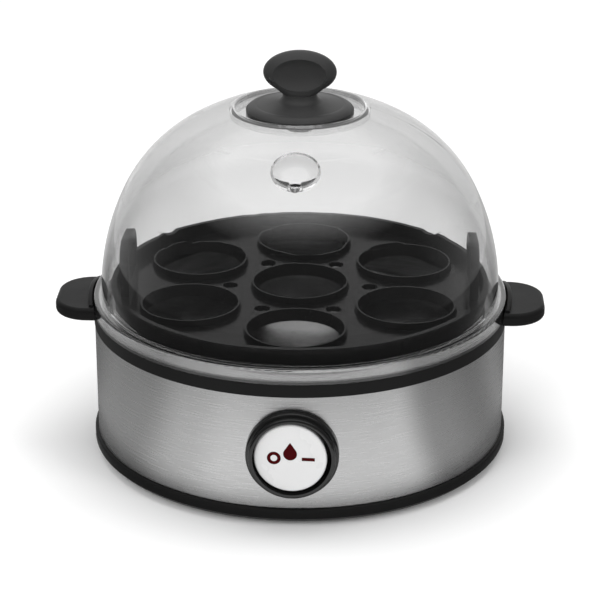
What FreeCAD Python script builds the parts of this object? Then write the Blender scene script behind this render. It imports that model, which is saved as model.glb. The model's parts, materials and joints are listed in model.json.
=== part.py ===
# Egg cooker: clear domed lid, lift-out egg tray, heated water dish, steel-sleeved base and a rocker switch.
# Frame: millimetres, +Z up, the switch faces -Y, and the origin is on the table under the middle.
import FreeCAD, Part
import math
import os
from types import SimpleNamespace

import Sketcher

# Driving sizes in millimetres, angles in degrees
SIZES = {
    # stance and base
    "foot_height": 2.0,
    "foot_radius": 7.0,
    "foot_inset": 21.3,
    "foot_recess": 0.8,
    "base_proud": 1.3,
    "base_band": 5.3,
    "base_bevel": 1.5,
    "base_inset": 1.4,
    "base_floor": 2.4,
    "base_rim_wall": 4.3,
    "rib_height": 5.2,
    "rib_wall": 2.2,
    "slip_fit": 0.05,
    "slot_margin": 28.0,
    "slot_length": 15.0,
    "slot_width": 3.2,
    # steel sleeve
    "sleeve_radius": 80.0,
    "sleeve_wall": 0.7,
    "sleeve_height": 44.4,
    # screw pillars that clamp the sleeve between base and ring
    "pillar_inset": 6.5,
    "pillar_radius": 3.7,
    "post_radius": 4.7,
    "post_height": 8.2,
    "screw_radius": 1.45,
    "screw_bite": 14.0,
    "screw_head_radius": 3.0,
    "screw_head": 2.2,
    "screw_shoulder": 3.0,
    "screw_clearance": 0.15,
    # ring with handles
    "ring_proud": 0.2,
    "ring_band": 5.0,
    "ring_skirt": 6.7,
    "ring_skirt_wall": 2.7,
    "shelf_drop": 1.5,
    "shelf_thickness": 2.5,
    "shelf_width": 10.6,
    "handle_length": 14.8,
    "handle_half_width": 18.0,
    "handle_corner": 13.0,
    "handle_rise": 2.5,
    "handle_thickness": 5.1,
    "handle_edge": 1.6,
    "guard_gap": 0.4,
    "guard_thickness": 1.7,
    "guard_half_length": 15.5,
    "guard_tip": 0.9,
    "guard_edge": 0.5,
    # water dish
    "dish_sheet": 0.7,
    "dish_clearance": 2.0,
    "dish_depth": 12.2,
    "dish_upstand": 4.7,
    "dish_bend": 3.0,
    "gasket_thickness": 1.0,
    "stud_inset": 3.0,
    "stud_radius": 1.5,
    "stud_length": 10.0,
    "nut_across_flats": 5.5,
    "nut_height": 2.4,
    # lid
    "lid_gap": 0.3,
    "skirt_height": 5.6,
    "skirt_wall": 1.8,
    "ledge_thickness": 1.2,
    "ledge_edge": 0.8,
    "spigot_depth": 3.9,
    "dome_wall": 1.8,
    "flank_radius": 92.0,
    "flank_turn": 25.5,
    "shoulder_radius": 61.0,
    "shoulder_turn": 35.0,
    "well_radius": 24.5,
    "well_depth": 3.0,
    "well_edge": 0.8,
    "vent_turn": 56.6,
    "vent_rise": 6.8,
    "vent_radius": 11.0,
    "vent_hole_radius": 2.5,
    # knob
    "knob_flange_radius": 20.4,
    "knob_flange_edge": 1.6,
    "knob_flange_round": 4.5,
    "knob_shoulder_inset": 3.9,
    "knob_shoulder_height": 3.4,
    "knob_foot_radius": 8.9,
    "knob_foot_height": 4.7,
    "knob_neck_radius": 6.4,
    "knob_neck_height": 7.7,
    "knob_sweep": 3.0,
    "knob_head_height": 15.8,
    "knob_half_width": 13.85,
    "knob_half_height": 8.4,
    "knob_half_depth": 6.6,
    "knob_fan_inset": 1.2,
    "knob_fan_drop": 3.0,
    "knob_fan_half_depth": 4.8,
    "knob_fan_edge": 3.4,
    "knob_web": 4.0,
    "knob_hollow_width": 13.5,
    "knob_hollow_height": 8.2,
    "knob_hollow_depth": 8.0,
    "knob_screw_radius": 1.9,
    "knob_screw_bite": 9.0,
    "knob_screw_spare": 1.0,
    "knob_screw_head_radius": 3.8,
    "knob_screw_head": 2.4,
    "knob_screw_crown": 2.7,
    "knob_washer_radius": 6.5,
    "knob_washer": 1.0,
    "knob_hole_clearance": 0.25,
    # egg tray
    "tray_foot": 4.1,
    "tray_lean": 1.2,
    "tray_wall": 2.0,
    "tray_gap": 2.1,
    "tray_rim_rise": 10.8,
    "egg_margin": 26.2,
    "egg_hole_radius": 16.5,
    "cup_lip": 2.4,
    "cup_lip_wall": 2.2,
    "cup_draft": 1.1,
    "cup_flare": 1.65,
    "steam_hole_radius": 3.0,
    "loop_inset": 8.0,
    "loop_thickness": 3.2,
    "loop_half_width": 13.5,
    "loop_rise": 20.8,
    "loop_bar": 4.6,
    "loop_corner": 8.4,
    "loop_sill": 4.5,
    # heater
    "plate_margin": 17.6,
    "plate_thickness": 2.0,
    "element_margin": 14.0,
    "element_tube": 3.2,
    "element_gap": 50.0,
    "element_bend": 8.0,
    "element_leg": 4.0,
    "pin_radius": 1.2,
    "pin_length": 7.0,
    "stat_cap_radius": 8.0,
    "stat_cap": 3.6,
    "stat_body_radius": 7.2,
    "stat_body": 9.0,
    "stat_tab_reach": 15.0,
    "stat_tab_drop": 6.75,
    "tab_width": 6.3,
    "tab_thickness": 0.8,
    "bracket_half_length": 17.0,
    "bracket_half_width": 5.0,
    "bracket_sheet": 1.0,
    "bracket_hole_reach": 13.0,
    "small_screw_radius": 1.3,
    "small_screw_head_radius": 2.6,
    "small_screw_head": 1.6,
    "fuse_radius": 2.0,
    "fuse_length": 12.0,
    "fuse_offset": 21.0,
    "fuse_start": 4.0,
    "clip_width": 5.0,
    "clip_sheet": 0.6,
    # switch
    "bezel_radius": 17.0,
    "bezel_step": 2.6,
    "bezel_lip_radius": 15.9,
    "bezel_stand": 5.2,
    "bezel_edge": 0.9,
    "barrel_radius": 15.2,
    "barrel_depth": 9.0,
    "barrel_bore": 14.3,
    "sleeve_hole_gap": 0.1,
    "button_radius": 13.3,
    "button_setback": 1.0,
    "button_edge": 0.8,
    "button_plug_radius": 12.4,
    "pin_setback": 9.2,
    "rocker_pin_radius": 1.25,
    "rocker_pin_gap": 0.05,
    "rocker_tilt": 4.0,
    "plug_tail": 2.4,
    "mark_depth": 0.5,
    "mark_stand": 0.06,
    "ring_mark_radius": 2.5,
    "ring_mark_bore": 1.25,
    "ring_mark_offset": 5.9,
    "drop_radius": 2.5,
    "drop_height": 7.0,
    "drop_low": 0.6,
    "dash_length": 4.7,
    "dash_height": 1.3,
    "dash_offset": 6.6,
    "housing_radius": 13.2,
    "housing_flange": 1.8,
    "housing_depth": 18.0,
    "housing_wall": 2.0,
    "housing_cavity": 9.0,
    "lamp_radius": 2.4,
    "lamp_length": 7.0,
    "switch_tab_pitch": 6.0,
    "switch_tab_length": 9.0,
    # wiring
    "block_inset": 31.3,
    "block_half_length": 15.0,
    "block_half_depth": 7.0,
    "block_height": 13.0,
    "way_pitch": 9.0,
    "way_screw_radius": 2.0,
    "way_screw_depth": 2.5,
    "wire_radius": 1.1,
    "wire_entry": 5.0,
    "wire_run": 9.0,
    "twin_offset": 1.6,
    "earth_tag_inset": 9.6,
    "earth_tag_length": 8.0,
    # cord gland
    "gland_rise": 0.6,
    "gland_flange_radius": 8.0,
    "gland_neck_radius": 5.6,
    "gland_bore": 3.6,
    "gland_stand": 5.2,
    "gland_tail": 3.0,
}
FOOT_COUNT = 4
PILLAR_COUNT = 4
STUD_COUNT = 3
EGG_COUNT = 6
SLOT_COUNT = 8

PILLAR_ANGLE = 45.0
FIRST_EGG_ANGLE = 90.0
OVERSHOOT = 0.3
ARC_SHARE = 0.45

vec = FreeCAD.Vector
doc = FreeCAD.newDocument("egg_cooker")


# Sizes that carry their own spreadsheet expression


class Size:
    """A size with its expression for the document and its present value, so sums of sizes stay bound."""

    def __init__(self, text, value):
        self.text = text
        self.value = value

    def joined(self, sign, other, value):
        return Size(f"({self.text} {sign} {other.text})", value)

    def __add__(self, other):
        other = as_size(other)
        return self.joined("+", other, self.value + other.value)

    def __sub__(self, other):
        other = as_size(other)
        return self.joined("-", other, self.value - other.value)

    def __mul__(self, other):
        other = as_size(other)
        return self.joined("*", other, self.value * other.value)

    def __truediv__(self, other):
        other = as_size(other)
        return self.joined("/", other, self.value / other.value)

    def __rsub__(self, other):
        return as_size(other) - self

    def __neg__(self):
        return Size(f"(0 - {self.text})", -self.value)

    __radd__ = __add__
    __rmul__ = __mul__


def as_size(number):
    return number if isinstance(number, Size) else Size(f"({float(number):.9f})", float(number))


def sine(angle):
    angle = as_size(angle)
    return Size(f"sin({angle.text})", math.sin(math.radians(angle.value)))


def cosine(angle):
    angle = as_size(angle)
    return Size(f"cos({angle.text})", math.cos(math.radians(angle.value)))


def root(square):
    return Size(f"sqrt({square.text})", math.sqrt(square.value))


def write_sheet():
    """Put every driving size into the spreadsheet and give back the named sizes."""
    sheet = doc.addObject("Spreadsheet::Sheet", "Sizes")
    for row, (name, number) in enumerate(SIZES.items(), start=1):
        sheet.set(f"A{row}", name)
        sheet.set(f"B{row}", str(number))
        sheet.setAlias(f"B{row}", name)
    doc.recompute()
    return SimpleNamespace(**{name: Size(f"Sizes.{name}", number) for name, number in SIZES.items()})


s = write_sheet()


# Levels and radii that follow from the driving sizes
base_low = s.foot_height
floor_low = base_low + s.base_inset
floor_top = floor_low + s.base_floor
sleeve_low = base_low + s.base_band
sleeve_top = sleeve_low + s.sleeve_height
sleeve_bore = s.sleeve_radius - s.sleeve_wall
base_radius = s.sleeve_radius + s.base_proud
ring_radius = s.sleeve_radius + s.ring_proud
foot_circle = base_radius - s.foot_inset
slot_circle = foot_circle - s.slot_margin
pillar_circle = sleeve_bore - s.pillar_inset
shelf_bore = ring_radius - s.shelf_width
stud_circle = shelf_bore + s.stud_inset
handle_reach = ring_radius + s.handle_length
dish_wall_radius = shelf_bore - s.dish_clearance
plate_radius = dish_wall_radius - s.plate_margin
element_circle = plate_radius - s.element_margin
earth_tag_reach = dish_wall_radius - s.earth_tag_inset
block_centre = sleeve_bore - s.block_inset
ring_top = sleeve_top + s.ring_band
shelf_top = ring_top - s.shelf_drop
shelf_low = shelf_top - s.shelf_thickness
dish_seat = shelf_top + s.gasket_thickness
dish_shelf = dish_seat + s.dish_sheet
dish_floor = dish_seat - s.dish_depth
ledge_top = ring_top + s.skirt_height
skirt_bore = ring_radius - s.skirt_wall
dish_rim_radius = skirt_bore - s.lid_gap
dome_radius = dish_rim_radius - s.dish_sheet - s.lid_gap
post_top = floor_top + s.post_height
shoulder_level = post_top - s.screw_shoulder
plate_low = dish_floor - s.plate_thickness
switch_level = sleeve_low + s.sleeve_height / 2
gland_level = sleeve_low + s.rib_height + s.gland_flange_radius + s.gland_rise
tray_low = dish_shelf
tray_floor = tray_low + s.tray_foot + s.tray_wall
tray_rim = tray_low + s.tray_rim_rise
tray_rim_radius = dome_radius - s.dome_wall - s.tray_gap
tray_foot_radius = tray_rim_radius - s.tray_lean
egg_circle = tray_rim_radius - s.egg_margin
steam_circle = egg_circle / root(as_size(3.0))
loop_reach = tray_rim_radius - s.loop_inset

# The dome is three tangent arcs: flank, shoulder and a crown centred on the axis
crown_turn = s.flank_turn + s.shoulder_turn
flank_x = dome_radius - s.flank_radius
shoulder_x = flank_x + (s.flank_radius - s.shoulder_radius) * cosine(s.flank_turn)
shoulder_z = ledge_top + (s.flank_radius - s.shoulder_radius) * sine(s.flank_turn)
crown_radius = s.shoulder_radius + shoulder_x / cosine(crown_turn)
crown_z = shoulder_z - (crown_radius - s.shoulder_radius) * sine(crown_turn)


def flank_point(inset):
    """Join of flank and shoulder, moved inwards by inset."""
    reach = s.shoulder_radius - inset
    return shoulder_x + reach * cosine(s.flank_turn), shoulder_z + reach * sine(s.flank_turn)


def shoulder_point(inset):
    """Join of shoulder and crown, moved inwards by inset."""
    reach = s.shoulder_radius - inset
    return shoulder_x + reach * cosine(crown_turn), shoulder_z + reach * sine(crown_turn)


def crown_level(radius, inset):
    """Height of the crown, moved inwards by inset, at a distance from the axis."""
    reach = crown_radius - inset
    return crown_z + root(reach * reach - radius * radius)


well_floor = crown_level(s.well_radius, 0.0) - s.well_depth
vent_reach = shoulder_x + (s.shoulder_radius + s.vent_rise) * cosine(s.vent_turn)
vent_level = shoulder_z + (s.shoulder_radius + s.vent_rise) * sine(s.vent_turn)


# Drawing helpers


def plane_of(body, role):
    return next(item for item in body.Origin.OriginFeatures if item.Role == role)


def new_body(label):
    body = doc.addObject("PartDesign::Body", label)
    body.Label = label
    return body


def place(thing, x=None, y=None, z=None, rotation=None):
    """Turn a finished piece and bind its place."""
    if rotation is not None:
        thing.Placement = FreeCAD.Placement(vec(), rotation)
    for axis, amount in zip("xyz", (x, y, z)):
        if amount is not None:
            thing.setExpression(f"Placement.Base.{axis}", as_size(amount).text)


def new_sketch(body, name, role="XY_Plane", lift=None):
    """A sketch on one of the body's own planes, raised along the plane's normal."""
    sketch = body.newObject("Sketcher::SketchObject", name)
    sketch.AttachmentSupport = (plane_of(body, role), [""])
    sketch.MapMode = "FlatFace"
    if lift is not None:
        sketch.setExpression("AttachmentOffset.Base.z", as_size(lift).text)
    return sketch


def pin_point(sketch, geometry, end, x, y):
    """Hold a point of a sketch at x, y."""
    for kind, amount, axis in (("DistanceX", x, -2), ("DistanceY", y, -1)):
        amount = as_size(amount)
        if abs(amount.value) < 1e-9:
            sketch.addConstraint(Sketcher.Constraint("PointOnObject", geometry, end, axis))
            continue
        held = sketch.addConstraint(Sketcher.Constraint(kind, -1, 1, geometry, end, amount.value))
        sketch.setExpression(f"Constraints[{held}]", amount.text)


def arc_between(start, finish, radius):
    """The short arc between two points; a positive radius turns left along the way."""
    chord = finish - start
    half = chord.Length / 2
    left = vec(-chord.y, chord.x, 0).normalize()
    rise = math.sqrt(max(radius * radius - half * half, 0.0))
    centre = (start + finish) * 0.5 + left * math.copysign(rise, radius)
    first, last = (start, finish) if radius > 0 else (finish, start)
    angles = [math.atan2(p.y - centre.y, p.x - centre.x) for p in (first, last)]
    return Part.ArcOfCircle(Part.Circle(centre, vec(0, 0, 1), abs(radius)), *angles)


def draw_outline(sketch, corners):
    """A closed outline through corners (x, y); a third item is the radius of the arc that arrives there."""
    spots = [vec(as_size(corner[0]).value, as_size(corner[1]).value, 0) for corner in corners]
    edges = []
    for index, corner in enumerate(corners):
        start = spots[index - 1]
        finish = spots[index]
        radius = as_size(corner[2]) if len(corner) > 2 else None
        if radius is None:
            shape = Part.LineSegment(start, finish)
        else:
            shape = arc_between(start, finish, radius.value)
        geometry = sketch.addGeometry(shape, False)
        turns_right = radius is not None and radius.value < 0
        edges.append((geometry, 2 if turns_right else 1, 1 if turns_right else 2))
        if radius is not None:
            held = sketch.addConstraint(Sketcher.Constraint("Radius", geometry, abs(radius.value)))
            sketch.setExpression(f"Constraints[{held}]", (-radius if turns_right else radius).text)
    for index, (geometry, _, finish_end) in enumerate(edges):
        following, start_end, _ = edges[(index + 1) % len(edges)]
        sketch.addConstraint(Sketcher.Constraint("Coincident", geometry, finish_end, following, start_end))
        pin_point(sketch, geometry, finish_end, *corners[index][:2])


def draw_circle(sketch, x, y, radius):
    radius = as_size(radius)
    centre = vec(as_size(x).value, as_size(y).value, 0)
    geometry = sketch.addGeometry(Part.Circle(centre, vec(0, 0, 1), radius.value), False)
    held = sketch.addConstraint(Sketcher.Constraint("Radius", geometry, radius.value))
    sketch.setExpression(f"Constraints[{held}]", radius.text)
    pin_point(sketch, geometry, 3, x, y)


def box_corners(left, low, right, high):
    return [(left, low), (right, low), (right, high), (left, high)]


def slot_corners(middle, half_width, half_length):
    """A slot along Y with round ends, each end two quarter circles."""
    return [
        (middle + half_width, half_length),
        (middle, half_length + half_width, half_width),
        (middle - half_width, half_length, half_width),
        (middle - half_width, -half_length),
        (middle, -half_length - half_width, half_width),
        (middle + half_width, -half_length, half_width),
    ]


def turn(body, name, corners, kind="Revolution"):
    """Turn an outline of (radius, height) corners about the body's own upright axis."""
    sketch = new_sketch(body, f"{name}_profile", "XZ_Plane")
    draw_outline(sketch, corners)
    feature = body.newObject(f"PartDesign::{kind}", name)
    feature.Profile = sketch
    feature.ReferenceAxis = (sketch, ["V_Axis"])
    feature.Angle = 360
    return feature


def raise_pad(body, name, sketch, length):
    pad = body.newObject("PartDesign::Pad", name)
    pad.Profile = sketch
    pad.setExpression("Length", as_size(length).text)
    return pad


def cut_pocket(body, name, sketch, length, upwards=True):
    """Cut along the sketch's normal, or against it."""
    pocket = body.newObject("PartDesign::Pocket", name)
    pocket.Profile = sketch
    pocket.setExpression("Length", as_size(length).text)
    pocket.Reversed = upwards
    return pocket


def repeat_round(body, name, features, count):
    pattern = body.newObject("PartDesign::PolarPattern", name)
    pattern.Originals = features
    pattern.Axis = (plane_of(body, "Z_Axis"), [""])
    pattern.Angle = 360
    pattern.Occurrences = count
    body.Tip = pattern
    return pattern


def mirror(body, name, features, role="YZ_Plane"):
    copy = body.newObject("PartDesign::Mirrored", name)
    copy.Originals = features
    copy.MirrorPlane = (plane_of(body, role), [""])
    body.Tip = copy
    return copy


def soften(body, name, radius, wanted):
    """Round every edge of the body's last feature that the test wants."""
    doc.recompute()
    last = body.Tip
    names = [f"Edge{n}" for n, edge in enumerate(last.Shape.Edges, start=1) if wanted(edge)]
    fillet = body.newObject("PartDesign::Fillet", name)
    fillet.Base = (last, names)
    fillet.setExpression("Radius", as_size(radius).text)
    return fillet


def is_ring(edge, radius, level):
    """True for a whole circle about the body's axis with this radius at this height."""
    curve = edge.Curve
    if not isinstance(curve, Part.Circle):
        return False
    middle = curve.Center
    near_axis = math.hypot(middle.x, middle.y) < 0.01
    same_size = abs(curve.Radius - as_size(radius).value) < 0.01
    return near_axis and same_size and abs(middle.z - as_size(level).value) < 0.01


def sized_cylinder(body, name, kind, radius, height, x=0.0, y=0.0, z=0.0, rotation=None):
    """A round bar or bore inside a body, with its foot at x, y, z."""
    feature = body.newObject(f"PartDesign::{kind}Cylinder", name)
    feature.setExpression("Radius", as_size(radius).text)
    feature.setExpression("Height", as_size(height).text)
    place(feature, x, y, z, rotation)
    return feature


def oval(body, name, kind, half_width, half_depth, half_height, x, y, z):
    """An ellipsoid inside a body, measured along X, Y and Z."""
    feature = body.newObject(f"PartDesign::{kind}Ellipsoid", name)
    feature.Angle1 = -90
    feature.Angle2 = 90
    feature.Angle3 = 360
    feature.setExpression("Radius1", as_size(half_height).text)
    feature.setExpression("Radius2", as_size(half_width).text)
    feature.setExpression("Radius3", as_size(half_depth).text)
    place(feature, x, y, z)
    doc.recompute()
    return feature


def scoop_out(body, name, radius, y, z):
    """A round hollow taken out of a body, centred above its middle line."""
    feature = body.newObject("PartDesign::SubtractiveSphere", name)
    feature.setExpression("Radius", as_size(radius).text)
    place(feature, 0, y, z)
    return feature


def polar(radius, angle):
    return radius * cosine(angle), radius * sine(angle)


TO_FRONT = FreeCAD.Rotation(vec(1, 0, 0), 90)
TO_BACK = FreeCAD.Rotation(vec(1, 0, 0), -90)


# Base


def make_base_pan():
    """Moulded base: a recessed floor, a bevelled rim and a rib that the sleeve slips over."""
    body = new_body("base_pan")
    rim_bore = base_radius - s.base_rim_wall
    rib_radius = sleeve_bore - s.slip_fit
    rib_top = sleeve_low + s.rib_height
    turn(body, "shell", [
        (0, floor_low),
        (rim_bore, floor_low),
        (rim_bore, base_low),
        (base_radius - s.base_bevel, base_low),
        (base_radius, base_low + s.base_bevel),
        (base_radius, sleeve_low),
        (rib_radius, sleeve_low),
        (rib_radius, rib_top),
        (rib_radius - s.rib_wall, rib_top),
        (rib_radius - s.rib_wall, floor_top),
        (0, floor_top),
    ])
    x, y = polar(pillar_circle, PILLAR_ANGLE)
    post = sized_cylinder(body, "post", "Additive", s.post_radius, post_top - floor_low, x, y, floor_low)
    counterbore_radius = s.screw_head_radius + s.screw_clearance
    bore_radius = s.screw_radius + s.screw_clearance
    recess = sized_cylinder(
        body, "counterbore", "Subtractive", counterbore_radius, shoulder_level - base_low, x, y, base_low)
    bore = sized_cylinder(
        body, "screw_bore", "Subtractive", bore_radius, post_top - base_low + OVERSHOOT, x, y, base_low)
    repeat_round(body, "posts", [post, recess, bore], PILLAR_COUNT)
    seat_depth = s.base_inset + s.foot_recess
    seat = sized_cylinder(
        body, "foot_seat", "Subtractive", s.foot_radius, seat_depth, foot_circle, 0, base_low)
    repeat_round(body, "foot_seats", [seat], FOOT_COUNT)
    sketch = new_sketch(body, "slot_outline", "XY_Plane", base_low)
    draw_outline(sketch, slot_corners(slot_circle, s.slot_width / 2, s.slot_length / 2))
    slot = cut_pocket(body, "slot", sketch, floor_top - base_low + OVERSHOOT)
    repeat_round(body, "slots", [slot], SLOT_COUNT)
    soften(body, "band_edge", s.base_bevel / 2, lambda edge: is_ring(edge, base_radius, sleeve_low))
    return body


def make_rubber_feet():
    """Four rubber discs in seats under the base."""
    body = new_body("rubber_feet")
    height = floor_low + s.foot_recess
    foot = sized_cylinder(body, "foot", "Additive", s.foot_radius - s.slip_fit, height, foot_circle, 0, 0)
    repeat_round(body, "feet", [foot], FOOT_COUNT)
    return body


def make_base_screws():
    """Four long screws from below, through the posts and up into the ring's pillars."""
    body = new_body("base_screws")
    x, y = polar(pillar_circle, PILLAR_ANGLE)
    head = sized_cylinder(
        body, "head", "Additive", s.screw_head_radius, s.screw_head, x, y, shoulder_level - s.screw_head)
    length = s.screw_shoulder + s.screw_bite
    shank = sized_cylinder(body, "shank", "Additive", s.screw_radius, length, x, y, shoulder_level)
    drive = sized_cylinder(
        body, "drive", "Subtractive", s.screw_radius, s.screw_head / 2, x, y, shoulder_level - s.screw_head)
    repeat_round(body, "screws", [head, shank, drive], PILLAR_COUNT)
    return body


# Sleeve and ring


def make_body_sleeve():
    """Brushed steel tube with a hole for the switch in front and one for the cord at the back."""
    body = new_body("body_sleeve")
    turn(body, "tube", box_corners(sleeve_bore, sleeve_low, s.sleeve_radius, sleeve_top))
    sized_cylinder(body, "switch_hole", "Subtractive", s.barrel_radius + s.sleeve_hole_gap,
                   base_radius, 0, 0, switch_level, TO_FRONT)
    hole = sized_cylinder(body, "cord_hole", "Subtractive", s.gland_neck_radius + s.sleeve_hole_gap,
                          base_radius, 0, 0, gland_level, TO_BACK)
    body.Tip = hole
    return body


def make_rim_ring():
    """Black ring that closes the sleeve, carries the dish on its shelf and ends in two handles."""
    body = new_body("rim_ring")
    skirt_radius = sleeve_bore - s.slip_fit
    skirt_bore_radius = skirt_radius - s.ring_skirt_wall
    shelf_edge = dish_rim_radius + s.slip_fit
    turn(body, "ring", [
        (ring_radius, sleeve_top),
        (ring_radius, ring_top),
        (shelf_edge, ring_top),
        (shelf_edge, shelf_top),
        (shelf_bore, shelf_top),
        (shelf_bore, shelf_low),
        (skirt_bore_radius, shelf_low),
        (skirt_bore_radius, sleeve_top - s.ring_skirt),
        (skirt_radius, sleeve_top - s.ring_skirt),
        (skirt_radius, sleeve_top),
    ])
    handle_low = sleeve_top + s.handle_rise
    handle_top = handle_low + s.handle_thickness
    guard_bore = ring_radius + s.guard_gap
    guard_radius = guard_bore + s.guard_thickness
    sketch = new_sketch(body, "handle_outline", "XY_Plane", handle_low)
    bend = handle_reach - s.handle_corner
    straight = s.handle_half_width - s.handle_corner
    draw_outline(sketch, [
        (shelf_edge, -s.handle_half_width),
        (bend, -s.handle_half_width),
        (handle_reach, -straight, s.handle_corner),
        (handle_reach, straight),
        (bend, s.handle_half_width, s.handle_corner),
        (shelf_edge, s.handle_half_width),
    ])
    handle = raise_pad(body, "handle", sketch, s.handle_thickness)
    half = s.guard_half_length
    tip = handle_top + s.guard_tip
    rise = ledge_top - tip
    bow = (half * half + rise * rise) / (2 * rise)
    sketch = new_sketch(body, "guard_outline", "YZ_Plane", shelf_edge)
    draw_outline(sketch, [
        (-half, handle_low),
        (half, handle_low),
        (half, tip),
        (0, ledge_top, bow),
        (-half, tip, bow),
    ])
    guard = raise_pad(body, "guard", sketch, guard_radius - shelf_edge)
    mirror(body, "other_handle", [handle, guard])
    face_corners = box_corners(guard_radius, handle_top, handle_reach, ledge_top + OVERSHOOT)
    turn(body, "guard_face", face_corners, "Groove")
    clear_bore = shelf_edge - s.guard_thickness
    turn(body, "lid_path", box_corners(clear_bore, ring_top, guard_bore, ledge_top + OVERSHOOT), "Groove")
    x, y = polar(pillar_circle, PILLAR_ANGLE)
    sketch = new_sketch(body, "pillar_outline", "XY_Plane", post_top)
    draw_circle(sketch, x, y, s.pillar_radius)
    draw_circle(sketch, x, y, s.screw_radius + s.slip_fit)
    pillar = raise_pad(body, "pillar", sketch, shelf_low + OVERSHOOT - post_top)
    repeat_round(body, "pillars", [pillar], PILLAR_COUNT)
    x, y = polar(stud_circle, FIRST_EGG_ANGLE)
    hole = sized_cylinder(body, "stud_hole", "Subtractive", s.stud_radius + s.screw_clearance,
                          s.shelf_thickness + 2 * OVERSHOOT, x, y, shelf_low - OVERSHOOT)
    repeat_round(body, "stud_holes", [hole], STUD_COUNT)

    def on_handle_end(edge, level):
        box = edge.BoundBox
        flat = box.ZLength < 0.01 and abs(box.ZMin - as_size(level).value) < 0.01
        return flat and min(abs(box.XMin), abs(box.XMax)) > bend.value - OVERSHOOT

    def on_guard_top(edge):
        box = edge.BoundBox
        return box.ZLength > rise.value / 2 and box.ZMax > ledge_top.value - 0.01

    soften(body, "handle_top_edge", s.handle_edge, lambda edge: on_handle_end(edge, handle_top))
    soften(body, "handle_low_edge", s.handle_edge, lambda edge: on_handle_end(edge, handle_low))
    soften(body, "guard_top_edge", s.guard_edge, on_guard_top)
    return body


# Water dish and heater


def make_heating_dish():
    """Deep-drawn steel dish: floor, wall, shelf on the ring and an upstand inside the lid's skirt."""
    body = new_body("heating_dish")
    wall = dish_wall_radius
    bore = wall - s.dish_sheet
    outer = s.dish_bend + s.dish_sheet
    upstand_bore = dish_rim_radius - s.dish_sheet
    turn(body, "sheet", [
        (0, dish_floor),
        (wall - outer, dish_floor),
        (wall, dish_floor + outer, outer),
        (wall, dish_seat),
        (dish_rim_radius, dish_seat),
        (dish_rim_radius, dish_seat + s.dish_upstand),
        (upstand_bore, dish_seat + s.dish_upstand),
        (upstand_bore, dish_shelf),
        (bore, dish_shelf),
        (bore, dish_floor + outer),
        (bore - s.dish_bend, dish_floor + s.dish_sheet, -s.dish_bend),
        (0, dish_floor + s.dish_sheet),
    ])
    return body


def make_dish_gasket():
    """Flat silicone ring between the dish and the ring's shelf."""
    body = new_body("dish_gasket")
    turn(body, "ring", box_corners(shelf_bore, shelf_top, dish_rim_radius - s.lid_gap, dish_seat))
    x, y = polar(stud_circle, FIRST_EGG_ANGLE)
    hole = sized_cylinder(body, "stud_hole", "Subtractive", s.stud_radius + s.screw_clearance,
                          s.gasket_thickness + 2 * OVERSHOOT, x, y, shelf_top - OVERSHOOT)
    repeat_round(body, "stud_holes", [hole], STUD_COUNT)
    return body


def make_dish_studs():
    """Three studs welded under the dish's shelf."""
    body = new_body("dish_studs")
    x, y = polar(stud_circle, FIRST_EGG_ANGLE)
    stud = sized_cylinder(
        body, "stud", "Additive", s.stud_radius, s.stud_length, x, y, dish_seat - s.stud_length)
    repeat_round(body, "studs", [stud], STUD_COUNT)
    return body


def make_stud_nuts():
    """Hexagon nuts that pull the studs down on the shelf."""
    body = new_body("stud_nuts")
    x, y = polar(stud_circle, FIRST_EGG_ANGLE)
    nut = body.newObject("PartDesign::AdditivePrism", "nut")
    nut.Polygon = 6
    nut.setExpression("Circumradius", (s.nut_across_flats / root(as_size(3.0))).text)
    nut.setExpression("Height", s.nut_height.text)
    place(nut, x, y, shelf_low - s.nut_height)
    bore = sized_cylinder(body, "thread", "Subtractive", s.stud_radius + s.slip_fit,
                          s.nut_height + 2 * OVERSHOOT, x, y, shelf_low - s.nut_height - OVERSHOOT)
    repeat_round(body, "nuts", [nut, bore], STUD_COUNT)
    return body


def make_spreader_plate():
    """Aluminium disc brazed under the dish, which spreads the element's heat."""
    body = new_body("spreader_plate")
    turn(body, "disc", box_corners(0, plate_low, plate_radius, dish_floor))
    hole = sized_cylinder(body, "screw_hole", "Subtractive", s.small_screw_radius, s.plate_thickness,
                          0, s.bracket_hole_reach, plate_low)
    repeat_round(body, "screw_holes", [hole], 2)
    return body


def pipe_along(label, edges, radius):
    """A round bar carried along a path of lines and arcs."""
    path = Part.Wire(edges)
    start = edges[0].valueAt(edges[0].FirstParameter)
    heading = edges[0].tangentAt(edges[0].FirstParameter)
    section = Part.Wire([Part.Circle(start, heading, radius).toShape()])
    bar = path.makePipeShell([section], True, False)
    expected = math.pi * radius * radius * path.Length
    if abs(bar.Volume - expected) > 0.02 * expected:
        raise ValueError(f"{label} has volume {bar.Volume:.1f}, not {expected:.1f}")
    return bar


def element_ends():
    """Foot of each upright leg of the element, left and right of its gap at the back."""
    circle = element_circle.value
    level = plate_low.value - s.element_tube.value - s.slip_fit.value
    ends = []
    for side in (-1, 1):
        angle = math.radians(90 - side * s.element_gap.value / 2)
        spot = vec(circle * math.cos(angle), circle * math.sin(angle), level)
        along = vec(-math.sin(angle), math.cos(angle), 0) * side
        foot = spot + along * s.element_bend.value - vec(0, 0, s.element_bend.value)
        ends.append((spot, along, foot))
    return ends


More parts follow.
